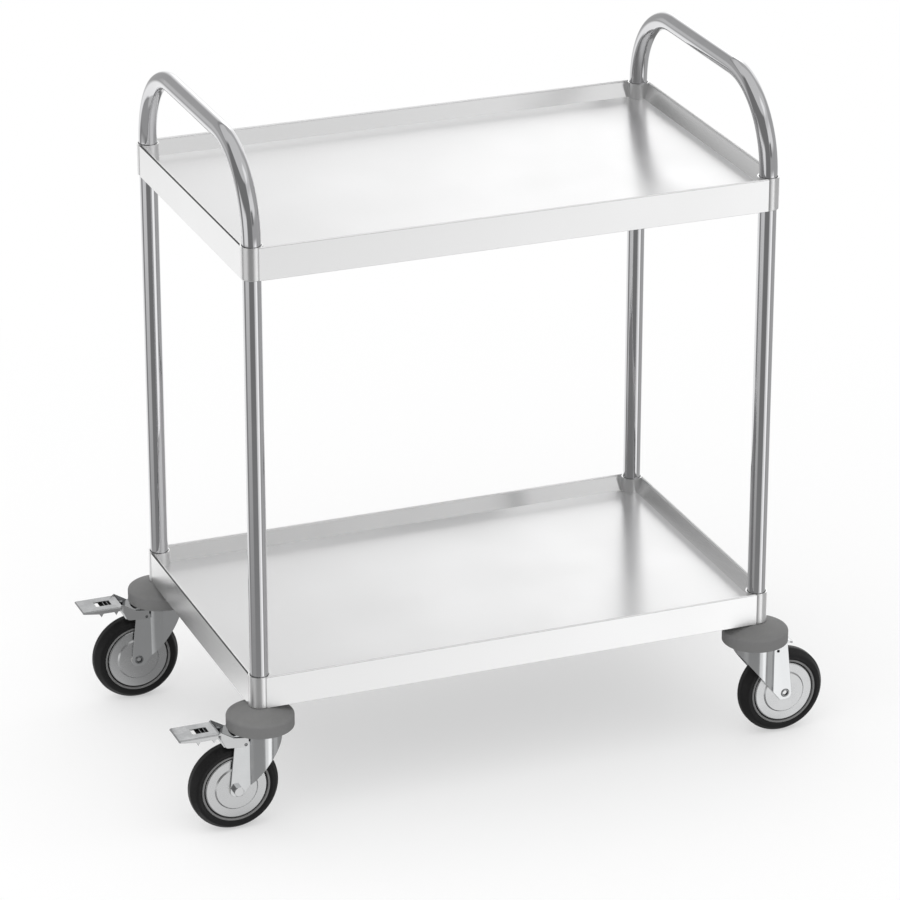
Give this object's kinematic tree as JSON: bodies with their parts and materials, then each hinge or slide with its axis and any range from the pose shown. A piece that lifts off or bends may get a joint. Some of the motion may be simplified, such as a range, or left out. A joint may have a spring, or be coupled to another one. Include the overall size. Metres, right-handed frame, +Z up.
{
  "type": "serving trolley",
  "caption": "Serving trolley: rimmed steel shelves between bent tube end frames with push handles, on swivel castors with bumper discs and foot brakes at one end.",
  "frame": {"origin": "on the floor, at the middle of the trolley's length and width", "axes": "+X along the trolley to its unbraked end, +Y to its rear side, +Z up"},
  "size_m": [0.9496, 0.522, 0.955],
  "materials": {
    "polished_tube": "mirror polished stainless steel",
    "satin_steel": "satin stainless steel sheet",
    "bumper_rubber": "matte mid-grey rubber",
    "zinc_steel": "bright zinc-plated pressed steel",
    "tyre_rubber": "matte black rubber",
    "wheel_plastic": "grey moulded plastic",
    "hidden_steel": "plain steel, inside the swivel or the leg",
    "bush_plastic": "pale bearing plastic"
  },
  "bodies": {
    "frame": {"left_end_frame": "polished_tube", "right_end_frame": "polished_tube", "leg_plugs": "hidden_steel", "king_bolts": "hidden_steel", "upper_shelf": "satin_steel", "upper_stiffeners": "satin_steel", "upper_corner_sleeves": "satin_steel", "upper_clamp_screws": "zinc_steel", "lower_shelf": "satin_steel", "lower_stiffeners": "satin_steel", "lower_corner_sleeves": "satin_steel", "lower_clamp_screws": "zinc_steel", "bumper_front_left": "bumper_rubber", "swivel_cap_front_left": "hidden_steel", "bumper_front_right": "bumper_rubber", "swivel_cap_front_right": "hidden_steel", "bumper_rear_left": "bumper_rubber", "swivel_cap_rear_left": "hidden_steel", "bumper_rear_right": "bumper_rubber", "swivel_cap_rear_right": "hidden_steel"},
    "swivel_front_left": {"fork_front_left": "zinc_steel", "ball_ring_front_left": "hidden_steel", "axle_sleeve_front_left": "zinc_steel", "axle_bolt_front_left": "zinc_steel", "brake_pin_front_left": "zinc_steel"},
    "wheel_front_left": {"tyre_front_left": "tyre_rubber", "wheel_core_front_left": "wheel_plastic", "wheel_discs_front_left": "zinc_steel", "wheel_bush_front_left": "bush_plastic"},
    "brake_front_left": {"brake_lever_front_left": "zinc_steel", "brake_shoe_front_left": "zinc_steel"},
    "swivel_front_right": {"fork_front_right": "zinc_steel", "ball_ring_front_right": "hidden_steel", "axle_sleeve_front_right": "zinc_steel", "axle_bolt_front_right": "zinc_steel"},
    "wheel_front_right": {"tyre_front_right": "tyre_rubber", "wheel_core_front_right": "wheel_plastic", "wheel_discs_front_right": "zinc_steel", "wheel_bush_front_right": "bush_plastic"},
    "swivel_rear_left": {"fork_rear_left": "zinc_steel", "ball_ring_rear_left": "hidden_steel", "axle_sleeve_rear_left": "zinc_steel", "axle_bolt_rear_left": "zinc_steel", "brake_pin_rear_left": "zinc_steel"},
    "wheel_rear_left": {"tyre_rear_left": "tyre_rubber", "wheel_core_rear_left": "wheel_plastic", "wheel_discs_rear_left": "zinc_steel", "wheel_bush_rear_left": "bush_plastic"},
    "brake_rear_left": {"brake_lever_rear_left": "zinc_steel", "brake_shoe_rear_left": "zinc_steel"},
    "swivel_rear_right": {"fork_rear_right": "zinc_steel", "ball_ring_rear_right": "hidden_steel", "axle_sleeve_rear_right": "zinc_steel", "axle_bolt_rear_right": "zinc_steel"},
    "wheel_rear_right": {"tyre_rear_right": "tyre_rubber", "wheel_core_rear_right": "wheel_plastic", "wheel_discs_rear_right": "zinc_steel", "wheel_bush_rear_right": "bush_plastic"}
  },
  "joints": [
    {"name": "castor_swivel_front_left", "type": "hinge", "parent": "frame", "child": "swivel_front_left", "pos_m": [-0.35375, -0.215, 0.1475], "axis": [0, 0, 1], "continuous": true},
    {"name": "wheel_spin_front_left", "type": "hinge", "parent": "swivel_front_left", "child": "wheel_front_left", "pos_m": [-0.39375, -0.215, 0.0625], "axis": [0, 1, 0], "continuous": true},
    {"name": "brake_pedal_front_left", "type": "hinge", "parent": "swivel_front_left", "child": "brake_front_left", "pos_m": [-0.38135, -0.215, 0.1287], "axis": [0, -1, 0], "range_deg": [0, 11]},
    {"name": "castor_swivel_front_right", "type": "hinge", "parent": "frame", "child": "swivel_front_right", "pos_m": [0.37225, -0.215, 0.1475], "axis": [0, 0, 1], "continuous": true},
    {"name": "wheel_spin_front_right", "type": "hinge", "parent": "swivel_front_right", "child": "wheel_front_right", "pos_m": [0.41225, -0.215, 0.0625], "axis": [0, 1, 0], "continuous": true},
    {"name": "castor_swivel_rear_left", "type": "hinge", "parent": "frame", "child": "swivel_rear_left", "pos_m": [-0.35375, 0.215, 0.1475], "axis": [0, 0, 1], "continuous": true},
    {"name": "wheel_spin_rear_left", "type": "hinge", "parent": "swivel_rear_left", "child": "wheel_rear_left", "pos_m": [-0.39375, 0.215, 0.0625], "axis": [0, 1, 0], "continuous": true},
    {"name": "brake_pedal_rear_left", "type": "hinge", "parent": "swivel_rear_left", "child": "brake_rear_left", "pos_m": [-0.38135, 0.215, 0.1287], "axis": [0, -1, 0], "range_deg": [0, 11]},
    {"name": "castor_swivel_rear_right", "type": "hinge", "parent": "frame", "child": "swivel_rear_right", "pos_m": [0.37225, 0.215, 0.1475], "axis": [0, 0, 1], "continuous": true},
    {"name": "wheel_spin_rear_right", "type": "hinge", "parent": "swivel_rear_right", "child": "wheel_rear_right", "pos_m": [0.41225, 0.215, 0.0625], "axis": [0, 1, 0], "continuous": true}
  ]
}
